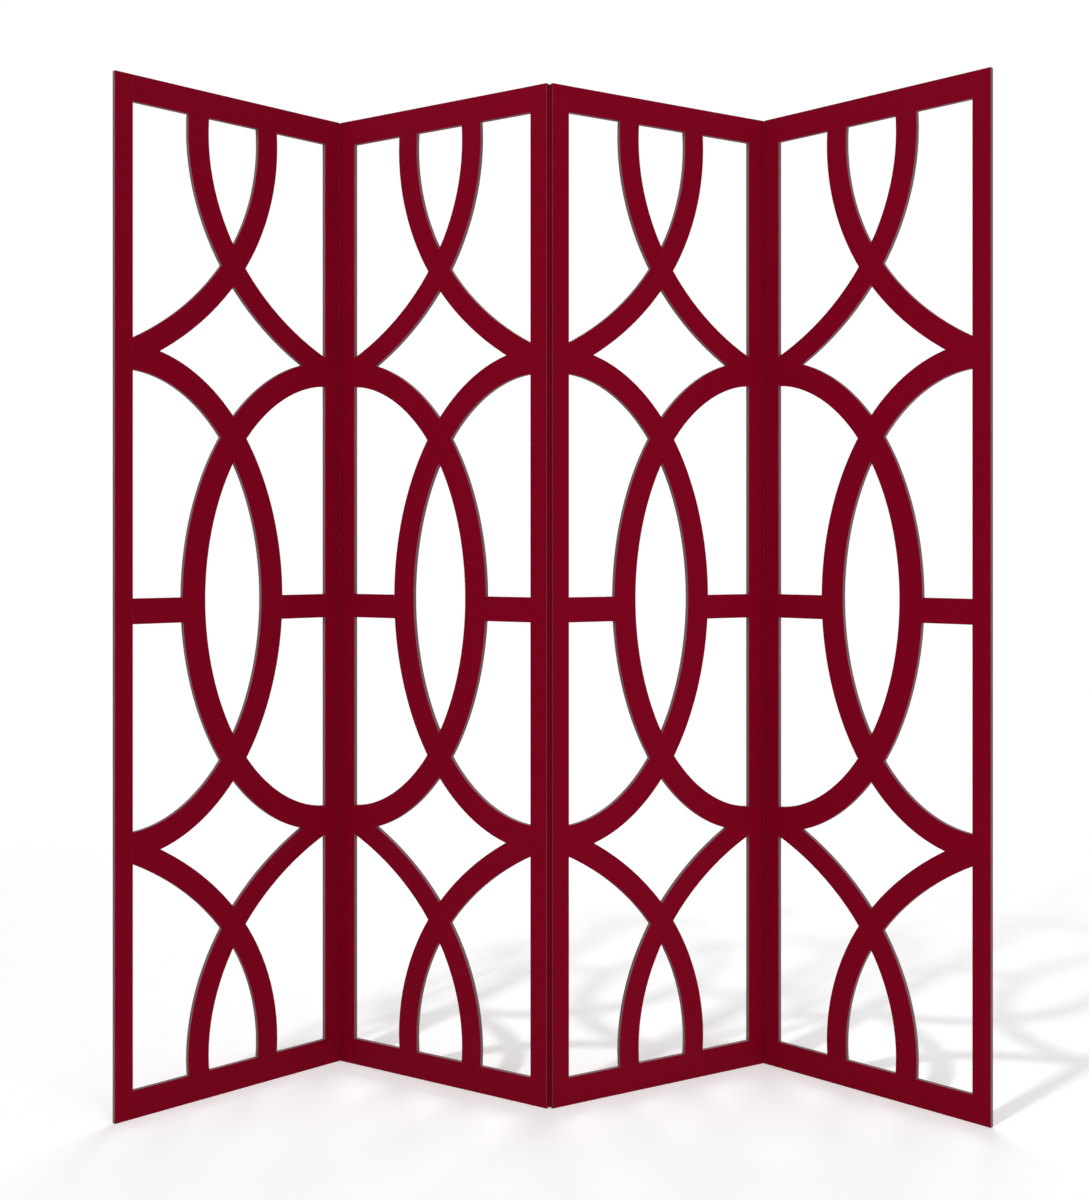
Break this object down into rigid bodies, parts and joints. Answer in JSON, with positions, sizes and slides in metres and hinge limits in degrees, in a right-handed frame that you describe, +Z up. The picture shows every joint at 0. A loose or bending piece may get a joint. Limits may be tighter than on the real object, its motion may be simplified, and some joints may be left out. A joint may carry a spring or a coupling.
{
  "type": "folding screen",
  "caption": "Folding room screen of hinged lattice panels with crossing half-oval ribs, standing in a zigzag.",
  "frame": {"origin": "on the floor, at the middle of the standing screen's width and depth", "axes": "+X along the screen's width, to the right as seen from the front; -Y is the front; +Z up"},
  "size_m": [1.4186, 0.3232, 1.7],
  "materials": {
    "panel_lacquer": "dark red satin lacquer over wood",
    "hinge_lacquer": "dark red satin lacquer over steel",
    "dowel_wood": "plain birch",
    "pin_steel": "blackened steel"
  },
  "bodies": {
    "panel_1": {"panel_1_left_stile": "panel_lacquer", "panel_1_right_stile": "panel_lacquer", "panel_1_top_rail": "panel_lacquer", "panel_1_bottom_rail": "panel_lacquer", "panel_1_left_oval": "panel_lacquer", "panel_1_right_oval": "panel_lacquer", "panel_1_left_arcs": "panel_lacquer", "panel_1_right_arcs": "panel_lacquer", "panel_1_left_middle_rail": "panel_lacquer", "panel_1_right_middle_rail": "panel_lacquer", "panel_1_dowels": "dowel_wood", "panel_1_screws": "hinge_lacquer", "fold_1_left_plate": "hinge_lacquer", "fold_1_pin": "pin_steel"},
    "panel_2": {"panel_2_left_stile": "panel_lacquer", "panel_2_right_stile": "panel_lacquer", "panel_2_top_rail": "panel_lacquer", "panel_2_bottom_rail": "panel_lacquer", "panel_2_left_oval": "panel_lacquer", "panel_2_right_oval": "panel_lacquer", "panel_2_left_arcs": "panel_lacquer", "panel_2_right_arcs": "panel_lacquer", "panel_2_left_middle_rail": "panel_lacquer", "panel_2_right_middle_rail": "panel_lacquer", "panel_2_dowels": "dowel_wood", "panel_2_screws": "hinge_lacquer", "fold_1_right_plate": "hinge_lacquer", "fold_2_left_plate": "hinge_lacquer", "fold_2_pin": "pin_steel"},
    "panel_3": {"panel_3_left_stile": "panel_lacquer", "panel_3_right_stile": "panel_lacquer", "panel_3_top_rail": "panel_lacquer", "panel_3_bottom_rail": "panel_lacquer", "panel_3_left_oval": "panel_lacquer", "panel_3_right_oval": "panel_lacquer", "panel_3_left_arcs": "panel_lacquer", "panel_3_right_arcs": "panel_lacquer", "panel_3_left_middle_rail": "panel_lacquer", "panel_3_right_middle_rail": "panel_lacquer", "panel_3_dowels": "dowel_wood", "panel_3_screws": "hinge_lacquer", "fold_2_right_plate": "hinge_lacquer", "fold_3_left_plate": "hinge_lacquer", "fold_3_pin": "pin_steel"},
    "panel_4": {"panel_4_left_stile": "panel_lacquer", "panel_4_right_stile": "panel_lacquer", "panel_4_top_rail": "panel_lacquer", "panel_4_bottom_rail": "panel_lacquer", "panel_4_left_oval": "panel_lacquer", "panel_4_right_oval": "panel_lacquer", "panel_4_left_arcs": "panel_lacquer", "panel_4_right_arcs": "panel_lacquer", "panel_4_left_middle_rail": "panel_lacquer", "panel_4_right_middle_rail": "panel_lacquer", "panel_4_dowels": "dowel_wood", "panel_4_screws": "hinge_lacquer", "fold_3_right_plate": "hinge_lacquer"}
  },
  "joints": [
    {"name": "fold_1", "type": "hinge", "parent": "panel_2", "child": "panel_1", "pos_m": [-0.3813, 0.15464, 0.85], "axis": [0, 0, 1], "range_deg": [-75, 105]},
    {"name": "fold_2", "type": "hinge", "parent": "panel_2", "child": "panel_3", "pos_m": [-0.00254, -0.07143, 0.85], "axis": [0, 0, 1], "range_deg": [-62, 118]},
    {"name": "fold_3", "type": "hinge", "parent": "panel_3", "child": "panel_4", "pos_m": [0.38388, 0.14128, 0.85], "axis": [0, 0, -1], "range_deg": [-73.5, 106.5]}
  ]
}
